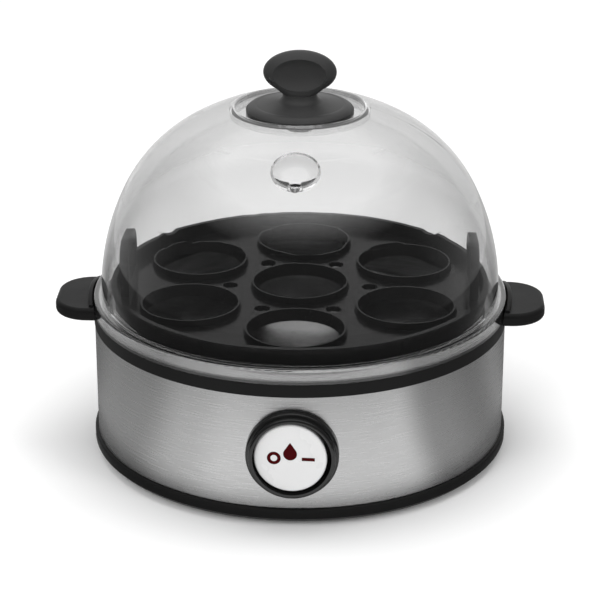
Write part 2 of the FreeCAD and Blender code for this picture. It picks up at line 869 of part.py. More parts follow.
def make_heating_element():
    """Sheathed heating tube: most of a ring under the plate, with both ends bent down."""
    (first, first_along, first_foot), (last, last_along, last_foot) = element_ends()
    bend = s.element_bend.value
    lean = math.sqrt(0.5)
    drop = vec(0, 0, s.element_leg.value)

    def elbow(start, along, finish):
        top = max(start, finish, key=lambda spot: spot.z)
        middle = top - vec(0, 0, bend) + (along + vec(0, 0, 1)) * bend * lean
        return Part.Arc(start, middle, finish)

    far_side = vec(0, -element_circle.value, first.z)
    edges = [
        Part.LineSegment(first_foot - drop, first_foot).toShape(),
        elbow(first_foot, first_along, first).toShape(),
        Part.Arc(first, far_side, last).toShape(),
        elbow(last, last_along, last_foot).toShape(),
        Part.LineSegment(last_foot, last_foot - drop).toShape(),
    ]
    feature = doc.addObject("Part::Feature", "heating_element")
    feature.Shape = pipe_along("heating_element", edges, s.element_tube.value)
    return feature


def make_element_pins():
    """Terminal pins in the two ends of the heating tube."""
    pins = []
    for _, _, foot in element_ends():
        low = foot - vec(0, 0, s.element_leg.value + s.pin_length.value)
        pins.append(Part.makeCylinder(s.pin_radius.value, s.pin_length.value, low))
    feature = doc.addObject("Part::Feature", "element_pins")
    feature.Shape = Part.makeCompound(pins)
    return feature


def make_thermostat():
    """Snap-disc thermostat: a metal cap against the plate, a moulded body and two side tabs."""
    body = new_body("thermostat")
    cap_low = plate_low - s.stat_cap
    body_low = cap_low - s.stat_body
    turn(body, "case", [
        (0, body_low),
        (s.stat_body_radius, body_low),
        (s.stat_body_radius, cap_low),
        (s.stat_cap_radius, cap_low),
        (s.stat_cap_radius, plate_low),
        (0, plate_low),
    ])
    sketch = new_sketch(body, "tab_outline", "XY_Plane", stat_tab_level() - s.tab_thickness / 2)
    half = s.tab_width / 2
    draw_outline(sketch, box_corners(-s.stat_tab_reach, -half, s.stat_tab_reach, half))
    raise_pad(body, "tabs", sketch, s.tab_thickness)
    return body


def stat_tab_level():
    return plate_low - s.stat_cap - s.stat_tab_drop


def make_thermostat_bracket():
    """Sheet strap that holds the thermostat's cap against the plate."""
    body = new_body("thermostat_bracket")
    cap_low = plate_low - s.stat_cap
    sketch = new_sketch(body, "strap_outline", "XY_Plane", cap_low - s.bracket_sheet)
    half = s.bracket_half_width
    draw_outline(sketch, slot_corners(0, half, s.bracket_half_length - half))
    raise_pad(body, "strap", sketch, s.bracket_sheet)
    sized_cylinder(body, "collar", "Additive", s.stat_cap_radius + s.bracket_sheet,
                   s.bracket_sheet, 0, 0, cap_low - s.bracket_sheet)
    for side, name in ((1, "rear"), (-1, "front")):
        sized_cylinder(body, f"{name}_foot", "Additive", half, s.stat_cap + s.bracket_sheet,
                       0, side * s.bracket_hole_reach, cap_low - s.bracket_sheet)
        sized_cylinder(body, f"{name}_hole", "Subtractive", s.small_screw_radius + s.slip_fit,
                       s.stat_cap + 2 * s.bracket_sheet, 0, side * s.bracket_hole_reach,
                       cap_low - 2 * s.bracket_sheet)
    bore = sized_cylinder(body, "body_hole", "Subtractive", s.stat_body_radius + s.slip_fit,
                          3 * s.bracket_sheet, 0, 0, cap_low - 2 * s.bracket_sheet)
    body.Tip = bore
    return body


def make_thermostat_screws():
    """Two screws through the strap into the plate."""
    body = new_body("thermostat_screws")
    strap_low = plate_low - s.stat_cap - s.bracket_sheet
    head = sized_cylinder(body, "head", "Additive", s.small_screw_head_radius, s.small_screw_head,
                          0, s.bracket_hole_reach, strap_low - s.small_screw_head)
    length = s.stat_cap + s.bracket_sheet + s.plate_thickness - s.slip_fit
    shank = sized_cylinder(body, "shank", "Additive", s.small_screw_radius - s.slip_fit, length,
                           0, s.bracket_hole_reach, strap_low)
    repeat_round(body, "screws", [head, shank], 2)
    return body


def make_thermal_fuse():
    """Thermal cut-off in line with the heater lead."""
    body = new_body("thermal_fuse")
    sized_cylinder(body, "case", "Additive", s.fuse_radius, s.fuse_length,
                   -s.fuse_offset, s.fuse_start + s.fuse_length, stat_tab_level(), TO_FRONT)
    return body


def make_fuse_clip():
    """Sprung strap that hangs the thermal cut-off from the plate."""
    body = new_body("fuse_clip")
    middle = s.fuse_start + s.fuse_length / 2
    outer = s.fuse_radius + s.clip_sheet
    sketch = new_sketch(body, "strap_outline", "XZ_Plane", -(middle + s.clip_width / 2))
    draw_outline(sketch, box_corners(-s.fuse_offset - s.clip_sheet, stat_tab_level() + s.fuse_radius,
                                     -s.fuse_offset + s.clip_sheet, plate_low))
    raise_pad(body, "strap", sketch, s.clip_width)
    sized_cylinder(body, "cuff", "Additive", outer, s.clip_width, -s.fuse_offset, middle + s.clip_width / 2,
                   stat_tab_level(), TO_FRONT)
    through = s.clip_width + 2 * OVERSHOOT
    bore = sized_cylinder(body, "cuff_bore", "Subtractive", s.fuse_radius + s.slip_fit, through,
                          -s.fuse_offset, middle + through / 2, stat_tab_level(), TO_FRONT)
    body.Tip = bore
    return body


# Lid


def make_lid_dome():
    """Clear lid: skirt, ledge, spigot and a domed shell with a knob well and a sunken steam vent."""
    outside = new_body("dome_outside")
    turn(outside, "form", [
        (0, ring_top),
        (ring_radius, ring_top),
        (ring_radius, ledge_top - s.ledge_edge),
        (ring_radius - s.ledge_edge, ledge_top, s.ledge_edge),
        (dome_radius, ledge_top),
        (*flank_point(0.0), s.flank_radius),
        (*shoulder_point(0.0), s.shoulder_radius),
        (s.well_radius, crown_level(s.well_radius, 0.0), crown_radius),
        (s.well_radius, well_floor),
        (0, well_floor),
    ])
    well_rim = crown_level(s.well_radius, 0.0)
    soften(outside, "well_edge", s.well_edge, lambda edge: is_ring(edge, s.well_radius, well_rim))
    wall = s.dome_wall
    through = wall + 2 * OVERSHOOT
    scoop_out(outside, "vent_scoop", s.vent_radius, -vent_reach, vent_level)
    sized_cylinder(outside, "vent_hole", "Subtractive", s.vent_hole_radius, through + 2 * OVERSHOOT,
                   0, -vent_reach, vent_level - s.vent_radius - through)
    bore_radius = s.knob_screw_radius + s.knob_hole_clearance
    screw_bore = sized_cylinder(outside, "screw_bore", "Subtractive", bore_radius, through,
                                0, 0, well_floor + OVERSHOOT - through)
    outside.Tip = screw_bore

    inside = new_body("dome_inside")
    bore = dome_radius - wall
    well_outer = s.well_radius + wall
    turn(inside, "form", [
        (0, ring_top - OVERSHOOT),
        (skirt_bore, ring_top - OVERSHOOT),
        (skirt_bore, ledge_top - s.ledge_thickness),
        (dome_radius, ledge_top - s.ledge_thickness),
        (dome_radius, ledge_top - s.spigot_depth),
        (bore, ledge_top - s.spigot_depth),
        (bore, ledge_top),
        (*flank_point(wall), s.flank_radius - wall),
        (*shoulder_point(wall), s.shoulder_radius - wall),
        (well_outer, crown_level(well_outer, wall), crown_radius - wall),
        (well_outer, well_floor - wall),
        (0, well_floor - wall),
    ])
    cup = scoop_out(inside, "vent_cup", s.vent_radius + wall, -vent_reach, vent_level)
    inside.Tip = cup
    lid = doc.addObject("Part::Cut", "lid_dome")
    lid.Base = outside
    lid.Tool = inside
    return lid


def make_lid_knob():
    """Knob: a cushioned flange, a short neck that fans out and an oval grip hollowed on both faces."""
    body = new_body("lid_knob")
    shoulder = well_floor + s.knob_shoulder_height
    neck = well_floor + s.knob_neck_height
    head = well_floor + s.knob_head_height
    fan_top = head - s.knob_fan_drop
    fan_half = s.knob_half_width - s.knob_fan_inset
    sketch = new_sketch(body, "fan_outline", "XZ_Plane", -s.knob_fan_half_depth)
    draw_outline(sketch, [
        (-s.knob_neck_radius, neck),
        (s.knob_neck_radius, neck),
        (fan_half, fan_top),
        (-fan_half, fan_top),
    ])
    raise_pad(body, "fan", sketch, 2 * s.knob_fan_half_depth)

    def on_fan_side(edge):
        box = edge.BoundBox
        return box.ZLength > 1.0 and box.YLength < 0.01

    soften(body, "fan_edge", s.knob_fan_edge, on_fan_side)
    oval(body, "grip", "Additive", s.knob_half_width, s.knob_half_depth, s.knob_half_height, 0, 0, head)
    hollow_reach = s.knob_hollow_depth + s.knob_web / 2
    for side, name in ((-1, "front"), (1, "back")):
        oval(body, f"{name}_hollow", "Subtractive", s.knob_hollow_width, s.knob_hollow_depth,
             s.knob_hollow_height, 0, side * hollow_reach, head)
    turn(body, "flange", [
        (0, well_floor),
        (s.knob_flange_radius, well_floor),
        (s.knob_flange_radius, well_floor + s.knob_flange_edge),
        (s.knob_flange_radius - s.knob_shoulder_inset, shoulder, s.knob_flange_round),
        (s.knob_foot_radius, well_floor + s.knob_foot_height),
        (s.knob_neck_radius, neck, -s.knob_sweep),
        (0, neck),
    ])
    bore = sized_cylinder(body, "screw_bore", "Subtractive", s.knob_screw_radius + s.slip_fit,
                          s.knob_screw_bite + s.knob_screw_spare, 0, 0, well_floor)
    body.Tip = bore
    return body


def make_knob_washer():
    """Washer under the lid, below the knob."""
    body = new_body("knob_washer")
    top = well_floor - s.dome_wall
    bore = s.knob_screw_radius + s.knob_hole_clearance
    turn(body, "disc", box_corners(bore, top - s.knob_washer, s.knob_washer_radius, top))
    return body


def make_knob_screw():
    """Screw that draws the knob down on the lid from inside."""
    body = new_body("knob_screw")
    seat = well_floor - s.dome_wall - s.knob_washer
    length = s.dome_wall + s.knob_washer + s.knob_screw_bite
    turn(body, "screw", [
        (0, seat - s.knob_screw_head),
        (s.knob_screw_crown, seat - s.knob_screw_head),
        (s.knob_screw_head_radius, seat - s.knob_screw_head / 2),
        (s.knob_screw_head_radius, seat),
        (s.knob_screw_radius, seat),
        (s.knob_screw_radius, seat + length),
        (0, seat + length),
    ])
    return body


# Egg tray


def make_egg_tray():
    """Shallow tray with seven lipped egg holes, steam holes and two lifting loops."""
    body = new_body("egg_tray")
    floor_under = tray_floor - s.tray_wall
    foot_bore = tray_foot_radius - s.tray_wall
    rim_bore = tray_rim_radius - s.tray_wall
    turn(body, "dish", [
        (0, floor_under),
        (foot_bore, floor_under),
        (foot_bore, tray_low),
        (tray_foot_radius, tray_low),
        (tray_foot_radius, floor_under),
        (tray_rim_radius, tray_rim),
        (rim_bore, tray_rim),
        (foot_bore, tray_floor),
        (0, tray_floor),
    ])
    lip_top = tray_floor + s.cup_lip
    cup_outer = s.egg_hole_radius + s.cup_lip_wall
    x, y = polar(egg_circle, FIRST_EGG_ANGLE)
    for name, at_x, at_y in (("ring", x, y), ("middle", 0, 0)):
        collar = body.newObject("PartDesign::AdditiveCone", f"{name}_collar")
        collar.setExpression("Radius1", (cup_outer + s.cup_draft).text)
        collar.setExpression("Radius2", cup_outer.text)
        collar.setExpression("Height", (lip_top - floor_under).text)
        place(collar, at_x, at_y, floor_under)
        seat = body.newObject("PartDesign::SubtractiveCone", f"{name}_seat")
        seat.setExpression("Radius1", s.egg_hole_radius.text)
        seat.setExpression("Radius2", (s.egg_hole_radius + s.cup_flare).text)
        seat.setExpression("Height", (s.cup_lip + s.tray_wall + 2 * OVERSHOOT).text)
        place(seat, at_x, at_y, floor_under - OVERSHOOT)
        if name == "ring":
            repeat_round(body, "egg_cups", [collar, seat], EGG_COUNT)
    steam = sized_cylinder(body, "steam_hole", "Subtractive", s.steam_hole_radius,
                           s.tray_wall + 2 * OVERSHOOT, steam_circle, 0, floor_under - OVERSHOOT)
    repeat_round(body, "steam_holes", [steam], EGG_COUNT)
    sketch = new_sketch(body, "loop_outline", "YZ_Plane", loop_reach)
    loop_top = tray_floor + s.loop_rise
    half = s.loop_half_width
    corner = s.loop_corner
    inner = half - s.loop_bar
    inner_corner = corner - s.loop_bar
    inner_top = loop_top - s.loop_bar
    sill = tray_floor + s.loop_sill
    draw_outline(sketch, [
        (-half, floor_under),
        (half, floor_under),
        (half, loop_top - corner),
        (half - corner, loop_top, corner),
        (corner - half, loop_top),
        (-half, loop_top - corner, corner),
    ])
    draw_outline(sketch, [
        (-inner, sill),
        (inner, sill),
        (inner, inner_top - inner_corner),
        (inner - inner_corner, inner_top, inner_corner),
        (inner_corner - inner, inner_top),
        (-inner, inner_top - inner_corner, inner_corner),
    ])
    loop = raise_pad(body, "loop", sketch, s.loop_thickness)
    mirror(body, "other_loop", [loop])
    return body


# Switch


def make_switch_bezel():
    """Bezel: a flange cut to the sleeve's curve, a stepped lip and the barrel that carries the rocker."""
    body = new_body("switch_bezel")
    face = s.sleeve_radius + s.bezel_stand
    step = s.sleeve_radius + s.bezel_step
    back = s.sleeve_radius - s.barrel_depth
    turn(body, "flange", [
        (s.barrel_bore, sleeve_bore - s.bezel_step),
        (s.bezel_radius, sleeve_bore - s.bezel_step),
        (s.bezel_radius, step - s.bezel_edge),
        (s.bezel_radius - s.bezel_edge, step, s.bezel_edge),
        (s.barrel_bore, step),
    ])
    sized_cylinder(body, "sleeve_curve", "Subtractive", s.sleeve_radius + s.slip_fit, 4 * s.bezel_radius,
                   0, 2 * s.bezel_radius, 0, TO_FRONT)
    turn(body, "barrel", [
        (s.barrel_bore, back),
        (s.barrel_radius, back),
        (s.barrel_radius, step - s.bezel_edge),
        (s.bezel_lip_radius, step - s.bezel_edge),
        (s.bezel_lip_radius, face - s.bezel_edge),
        (s.bezel_lip_radius - s.bezel_edge, face, s.bezel_edge),
        (s.barrel_bore, face),
    ])
    pin_level = face - s.button_setback - s.pin_setback
    bore = sized_cylinder(body, "pin_bearing", "Subtractive", s.rocker_pin_radius + s.rocker_pin_gap,
                          2 * s.barrel_radius, 0, s.barrel_radius, pin_level, TO_FRONT)
    body.Tip = bore
    place(body, 0, 0, switch_level, TO_FRONT)
    return body


pin_reach = s.sleeve_radius + s.bezel_stand - s.button_setback - s.pin_setback
ROCKER_REST = FreeCAD.Rotation(vec(0, 0, 1), -SIZES["rocker_tilt"]).multiply(TO_FRONT)


def draw_marks(sketch):
    """Ring at the left, drop in the middle and dash at the right."""
    drop_middle = s.drop_low + s.drop_radius / 2
    tip = s.drop_height - s.drop_radius
    lean = s.drop_radius / tip
    side = s.drop_radius * root(1 - lean * lean)
    draw_circle(sketch, -s.ring_mark_offset, 0, s.ring_mark_radius)
    draw_circle(sketch, -s.ring_mark_offset, 0, s.ring_mark_bore)
    draw_outline(sketch, [
        (0, drop_middle + tip),
        (-side, drop_middle + s.drop_radius * lean),
        (0, drop_middle - s.drop_radius, s.drop_radius),
        (side, drop_middle + s.drop_radius * lean, s.drop_radius),
    ])
    half = s.dash_height / 2
    draw_outline(sketch, box_corners(s.dash_offset - s.dash_length / 2, -half,
                                     s.dash_offset + s.dash_length / 2, half))


def make_rocker_button():
    """White rocker: a round face with a soft edge on a plug that turns on the upright pin."""
    body = new_body("rocker_button")
    face = s.pin_setback
    turn(body, "button", [
        (0, -s.plug_tail),
        (s.button_plug_radius, -s.plug_tail),
        (s.button_plug_radius, s.rocker_pin_radius * 2),
        (s.button_radius, face - 2 * s.button_edge),
        (s.button_radius, face - s.button_edge),
        (s.button_radius - s.button_edge, face, s.button_edge),
        (0, face),
    ])
    sized_cylinder(body, "pin_bore", "Subtractive", s.rocker_pin_radius, 2 * s.button_radius,
                   0, s.button_radius, 0, TO_FRONT)
    sketch = new_sketch(body, "mark_outline", "XY_Plane", face)
    draw_marks(sketch)
    cut_pocket(body, "mark_recess", sketch, s.mark_depth, upwards=False)
    place(body, 0, -pin_reach, switch_level, ROCKER_REST)
    return body


def make_rocker_symbols():
    """Dark translucent marks let into the rocker's face."""
    body = new_body("rocker_symbols")
    sketch = new_sketch(body, "mark_outline", "XY_Plane", s.pin_setback - s.mark_depth)
    draw_marks(sketch)
    raise_pad(body, "marks", sketch, s.mark_depth + s.mark_stand)
    place(body, 0, -pin_reach, switch_level, ROCKER_REST)
    return body


def make_rocker_pin():
    """Upright pin that the rocker turns on, with its ends in the bezel's barrel."""
    body = new_body("rocker_pin")
    half = s.barrel_radius - s.rocker_pin_gap * 2
    sized_cylinder(body, "pin", "Additive", s.rocker_pin_radius, 2 * half, 0, half, 0, TO_FRONT)
    place(body, 0, -pin_reach, switch_level, ROCKER_REST)
    return body


def make_switch_housing():
    """Moulded contact housing, flanged against the bezel's barrel and hollow in front for the lamp."""
    body = new_body("switch_housing")
    front = s.sleeve_radius - s.barrel_depth
    back = front - s.housing_depth
    cavity = front - s.housing_cavity
    bore = s.housing_radius - s.housing_wall
    turn(body, "cup", [
        (0, back),
        (s.housing_radius, back),
        (s.housing_radius, front - s.housing_flange),
        (s.barrel_radius, front - s.housing_flange),
        (s.barrel_radius, front),
        (bore, front),
        (bore, cavity),
        (0, cavity),
    ])
    place(body, 0, 0, switch_level, TO_FRONT)
    return body


def make_indicator_lamp():
    """Small neon lamp that stands in the housing behind the drop."""
    body = new_body("indicator_lamp")
    foot = s.sleeve_radius - s.barrel_depth - s.housing_cavity
    turn(body, "bulb", [
        (0, foot),
        (s.lamp_radius, foot),
        (s.lamp_radius, foot + s.lamp_length - s.lamp_radius),
        (0, foot + s.lamp_length, s.lamp_radius),
    ])
    place(body, 0, 0, switch_level, TO_FRONT)
    return body


switch_tab_end = s.sleeve_radius - s.barrel_depth - s.housing_depth - s.switch_tab_length


def make_switch_tabs():
    """Three push-on tabs at the back of the housing."""
    body = new_body("switch_tabs")
    sketch = new_sketch(body, "tab_outlines", "XY_Plane", switch_tab_end)
    half = s.tab_thickness / 2
    for step in (-1, 0, 1):
        middle = s.switch_tab_pitch * step
        draw_outline(sketch, box_corners(middle - half, -s.tab_width / 2, middle + half, s.tab_width / 2))
    raise_pad(body, "tabs", sketch, s.switch_tab_length)
    place(body, 0, 0, switch_level, TO_FRONT)
    return body


# Wiring and cord gland


def make_terminal_block():
    """Three-way terminal block on the floor behind the heater."""
    body = new_body("terminal_block")
    sketch = new_sketch(body, "block_outline", "XY_Plane", floor_top)
    draw_outline(sketch, box_corners(-s.block_half_length, block_centre - s.block_half_depth,
                                     s.block_half_length, block_centre + s.block_half_depth))
    raise_pad(body, "block", sketch, s.block_height)
    well_low = floor_top + s.block_height - s.way_screw_depth
    for step in (-1, 0, 1):
        well = sized_cylinder(body, f"well_{step + 2}", "Subtractive", s.way_screw_radius,
                              s.way_screw_depth + OVERSHOOT, s.way_pitch * step, block_centre, well_low)
    body.Tip = well
    return body


def make_terminal_screws():
    """One clamping screw in each way of the block."""
    body = new_body("terminal_screws")
    low = floor_top + s.block_height - s.way_screw_depth
    sketch = new_sketch(body, "screw_outlines", "XY_Plane", low)
    for step in (-1, 0, 1):
        draw_circle(sketch, s.way_pitch * step, block_centre, s.way_screw_radius - s.slip_fit)
    raise_pad(body, "screws", sketch, s.way_screw_depth - s.slip_fit)
    return body


def make_earth_tag():
    """Blade welded under the dish for the earth wire."""
    body = new_body("earth_tag")
    sketch = new_sketch(body, "blade_outline", "XY_Plane", dish_floor - s.earth_tag_length)
    half = s.tab_width / 2
    draw_outline(sketch, box_corners(s.way_pitch - half, earth_tag_reach - s.tab_thickness / 2,
                                     s.way_pitch + half, earth_tag_reach + s.tab_thickness / 2))
    raise_pad(body, "blade", sketch, s.earth_tag_length)
    return body


def wire_through(label, points):
    """A wire of straight runs joined by arcs as large as the shorter run allows."""
    edges = []
    start = points[0]
    for before, corner, after in zip(points, points[1:], points[2:]):
        arriving = (corner - before).normalize()
        leaving = (after - corner).normalize()
        setback = ARC_SHARE * min((corner - before).Length, (after - corner).Length)
        enter = corner - arriving * setback
        leave = corner + leaving * setback
        half_turn = arriving.getAngle(leaving) / 2
        bow = (leaving - arriving).normalize()
        radius = setback / math.tan(half_turn)
        middle = corner + bow * (radius / math.cos(half_turn) - radius)
        edges.append(Part.LineSegment(start, enter).toShape())
        edges.append(Part.Arc(enter, middle, leave).toShape())
        start = leave
    edges.append(Part.LineSegment(start, points[-1]).toShape())
    return pipe_along(label, edges, s.wire_radius.value)


def add_wires(label, routes):
    feature = doc.addObject("Part::Feature", label)
    wires = [wire_through(label, route) for route in routes]
    feature.Shape = wires[0] if len(wires) == 1 else Part.makeCompound(wires)
    return feature


def wire_stations():
    """Where wires meet terminals, worked out from the pieces that carry them."""
    level = switch_level.value
    tab_y = -switch_tab_end.value
    entry_y = block_centre.value - s.block_half_depth.value
    entry_z = floor_top.value + s.wire_entry.value
    stat_z = stat_tab_level().value
    pins = [foot - vec(0, 0, s.element_leg.value + s.pin_length.value) for _, _, foot in element_ends()]
    return SimpleNamespace(
        tabs=[vec(s.switch_tab_pitch.value * step, tab_y, level) for step in (-1, 0, 1)],
        ways=[vec(s.way_pitch.value * step, entry_y, entry_z) for step in (-1, 0, 1)],
        earth=vec(s.way_pitch.value, earth_tag_reach.value, dish_floor.value - s.earth_tag_length.value),
        stat_right=vec(s.stat_tab_reach.value, 0, stat_z),
        stat_left=vec(-s.stat_tab_reach.value, 0, stat_z),
        fuse_front=vec(-s.fuse_offset.value, s.fuse_start.value, stat_z),
        fuse_back=vec(-s.fuse_offset.value, s.fuse_start.value + s.fuse_length.value, stat_z),
        pin_right=max(pins, key=lambda spot: spot.x),
        pin_left=min(pins, key=lambda spot: spot.x),
    )


def make_wires():
    """Wires from switch to thermostat, cut-off, element and terminal block."""
    at = wire_stations()
    twin = vec(s.twin_offset.value, 0, 0)
    run = s.wire_run.value

    def ahead(spot, x=0.0, y=0.0, z=0.0):
        """A point some runs away from a spot."""
        return spot + vec(x, y, z) * run

    live = [at.tabs[0], ahead(at.tabs[0], y=1), ahead(at.tabs[0], -0.7, 2.6, -1.1),
            ahead(at.ways[0], -0.4, -3.4, 0.2), ahead(at.ways[0], y=-1), at.ways[0]]
    lamp_way = at.ways[1] - twin
    lamp = [at.tabs[1], ahead(at.tabs[1], y=1), ahead(at.tabs[1], 0.3, 2.6, -1.2),
            ahead(at.ways[1], 0.3, -3.4, -0.2), ahead(lamp_way, y=-1), lamp_way]
    switched = [at.tabs[2], ahead(at.tabs[2], y=1), ahead(at.stat_right, 1, -1.6, -0.1),
                ahead(at.stat_right, 1.6, -0.7), ahead(at.stat_right, 1), at.stat_right]
    short_lead = [at.stat_left, vec(at.fuse_front.x, at.stat_left.y, at.stat_left.z), at.fuse_front]
    left_low = ahead(at.pin_left, z=-0.5)
    heater = [at.fuse_back, ahead(at.fuse_back, y=0.7), ahead(left_low, -0.9, -0.1, 0.35),
              ahead(left_low, -0.5, -0.05, -0.1), left_low, at.pin_left]
    right_low = ahead(at.pin_right, z=-0.6)
    heater_way = at.ways[1] + twin
    neutral = [at.pin_right, right_low, ahead(right_low, -0.3, -0.6, -0.3),
               ahead(heater_way, 0.4, -1), ahead(heater_way, y=-0.6), heater_way]
    earth_low = ahead(at.earth, z=-1)
    rear_way = at.ways[2] + vec(0, 2 * s.block_half_depth.value, 0)
    earth = [at.earth, earth_low, ahead(earth_low, 0.05, 0.4, -1), ahead(rear_way, y=0.8), rear_way]
    add_wires("live_wire", [live])
    add_wires("earth_wire", [earth])
    add_wires("switched_wire", [switched])
    add_wires("heater_leads", [short_lead, heater])
    add_wires("neutral_wires", [lamp, neutral])


def make_cord_gland():
    """Rubber gland for the supply cord, at the back of the sleeve."""
    body = new_body("cord_gland")
    face = s.sleeve_radius + s.gland_stand
    tail = sleeve_bore - s.gland_tail
    turn(body, "gland", [
        (s.gland_bore, tail),
        (s.gland_flange_radius - s.bezel_edge, tail),
        (s.gland_flange_radius - s.bezel_edge, sleeve_bore - s.lid_gap * 2),
        (s.gland_neck_radius, sleeve_bore - s.lid_gap * 2),
        (s.gland_neck_radius, s.sleeve_radius + s.slip_fit),
        (s.gland_flange_radius, s.sleeve_radius + s.slip_fit),
        (s.gland_neck_radius, face),
        (s.gland_bore, face),
    ])
    place(body, 0, 0, gland_level, TO_BACK)
    return body


SUBPARTS = [
    make_base_pan, make_rubber_feet, make_base_screws, make_body_sleeve, make_rim_ring,
    make_heating_dish, make_dish_gasket, make_dish_studs, make_stud_nuts, make_spreader_plate,
    make_heating_element, make_element_pins, make_thermostat, make_thermostat_bracket,
    make_thermostat_screws, make_thermal_fuse, make_fuse_clip,
    make_lid_dome, make_lid_knob, make_knob_washer, make_knob_screw, make_egg_tray,
    make_switch_bezel, make_rocker_button, make_rocker_symbols, make_rocker_pin,
    make_switch_housing, make_indicator_lamp, make_switch_tabs,
    make_terminal_block, make_terminal_screws, make_earth_tag, make_wires, make_cord_gland,
]
FORMERS = ("dome_outside", "dome_inside")


def finished_pieces():
    kinds = ("PartDesign::Body", "Part::Cut", "Part::Feature")
    return [item for item in doc.Objects if item.TypeId in kinds and item.Label not in FORMERS]


def check_and_write():
    """Stop on any failed object, then write each piece to its own file."""
    failed = [item.Name for item in doc.Objects if {"Invalid", "Error"} & set(item.State)]
    if failed:
        raise RuntimeError(f"failed objects: {failed}")
    for piece in finished_pieces():
        if piece.Shape.isNull() or not piece.Shape.isValid():
            raise RuntimeError(f"bad shape: {piece.Label}")
    os.makedirs("parts", exist_ok=True)
    for piece in finished_pieces():
        piece.Shape.exportStep(f"parts/{piece.Label}.step")
        box = piece.Shape.BoundBox
        print(f"{piece.Label}: {len(piece.Shape.Solids)} solids, {piece.Shape.Volume:.0f} mm3, "
              f"x {box.XMin:.1f}..{box.XMax:.1f}, y {box.YMin:.1f}..{box.YMax:.1f}, "
              f"z {box.ZMin:.1f}..{box.ZMax:.1f}")


for make in SUBPARTS:
    make()
doc.recompute()
check_and_write()
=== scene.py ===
# %% [markdown]
# # An egg cooker, dressed for a studio picture
# The imported CAD model holds every solid of the cooker, in metres, with the
# switch facing -Y and the table at height zero. This lesson loads it as a
# fixed frame, sets up a small photo studio round it and gives each piece the
# finish of the real one. The CAD box is kept, so the dressed model can be
# measured against it.

# %% Load the frame
import json

import bpy
import numpy as np
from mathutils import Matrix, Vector

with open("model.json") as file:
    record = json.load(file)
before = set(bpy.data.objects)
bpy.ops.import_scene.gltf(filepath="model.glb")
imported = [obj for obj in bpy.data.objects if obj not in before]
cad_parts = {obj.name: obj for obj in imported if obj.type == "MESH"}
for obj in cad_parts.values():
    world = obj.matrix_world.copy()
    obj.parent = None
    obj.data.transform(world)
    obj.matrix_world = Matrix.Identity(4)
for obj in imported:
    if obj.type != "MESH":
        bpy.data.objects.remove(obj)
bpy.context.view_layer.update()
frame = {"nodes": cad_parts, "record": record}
nodes = frame["nodes"]
print("pieces in the frame:", len(nodes))

# %% [markdown]
# ## The camera
# The picture was taken from a little above the lid with a long lens, almost
# straight in front of the switch. The place of the camera could be tried out
# by hand, but the knob, the rim of the lid and the foot of the base are
# circles of known size, so their outlines in the picture give the height,
# the distance and the lens directly.

# %% Camera
SENSOR_WIDTH_MM = 36.0
LENS_MM = 131.64
CAMERA_PLACE = (0.0277, -0.7943, 0.3789)
AIM_POINT = (0.0, 0.0, 0.0571)


def facing(place, target):
    """The turn that points a camera or a lamp at a place towards a target point."""
    direction = Vector(target) - Vector(place)
    return direction.to_track_quat("-Z", "Y").to_euler()


lens_data = bpy.data.cameras.new("studio_camera")
lens_data.sensor_width = SENSOR_WIDTH_MM
lens_data.lens = LENS_MM
camera = bpy.data.objects.new("studio_camera", lens_data)
bpy.context.scene.collection.objects.link(camera)
camera.location = CAMERA_PLACE
camera.rotation_euler = facing(CAMERA_PLACE, AIM_POINT)
bpy.context.scene.camera = camera
bpy.context.scene.view_settings.view_transform = "Standard"
print("camera distance:", round((Vector(AIM_POINT) - camera.location).length, 3), "m")

# %% [markdown]
# ## The white room
# A white world fills the shadows. It could have one strength for all rays,
# but then a white background would mean too much light on the cooker. So its
# strength is 1, which is plain white, where the camera, a mirror reflection
# or a look through clear plastic meets it, and lower where it lights the
# matt surfaces. The small helpers here wire nodes together in every material
# that follows.

# %% World
WHITE = (1.0, 1.0, 1.0, 1.0)
FILL_STRENGTH = 0.62
WHITE_STRENGTH = 1.0


def feed(tree, value, socket):
    """Link another node's output to a socket, or set the socket to a plain value."""
    if isinstance(value, bpy.types.NodeSocket):
        tree.links.new(value, socket)
    else:
        socket.default_value = value


def math_of(tree, operation, first, second):
    """The output of a Math node over two outputs or plain values."""
    node = tree.nodes.new("ShaderNodeMath")
    node.operation = operation
    feed(tree, first, node.inputs[0])
    feed(tree, second, node.inputs[1])
    return node.outputs[0]


def mapped(tree, value, start, end, low, high, curve="LINEAR"):
    """The output of a Map Range node: low up to start, high from end, and a curve between."""
    node = tree.nodes.new("ShaderNodeMapRange")
    node.interpolation_type = curve
    feed(tree, value, node.inputs["Value"])
    feed(tree, start, node.inputs["From Min"])
    feed(tree, end, node.inputs["From Max"])
    feed(tree, low, node.inputs["To Min"])
    feed(tree, high, node.inputs["To Max"])
    return node.outputs["Result"]


def shown_rays(tree):
    """1 for rays from the camera, from a mirror and through clear plastic, and 0 for others."""
    rays = tree.nodes.new("ShaderNodeLightPath").outputs
    seen_or_mirrored = math_of(tree, "MAXIMUM", rays["Is Camera Ray"], rays["Is Glossy Ray"])
    return math_of(tree, "MAXIMUM", seen_or_mirrored, rays["Is Transmission Ray"])


world = bpy.data.worlds.new("studio_air")
bpy.context.scene.world = world
world.use_nodes = True
air = world.node_tree
background = air.nodes["Background"]
background.inputs["Color"].default_value = WHITE
strength = mapped(air, shown_rays(air), 0.0, 1.0, FILL_STRENGTH, WHITE_STRENGTH)
feed(air, strength, background.inputs["Strength"])
print("world:", world.name)

# %% [markdown]
# ## The lamps
# Three soft boxes add the shape: a key from the front left, a narrow fill
# from the right and a broad one overhead. They could be left visible to
# mirror reflections, but a smooth dome shows each as a hard white rectangle,
# so they light the matt surfaces only.

# %% Lamps
LAMP_TARGET = (0.0, 0.0, 0.07)


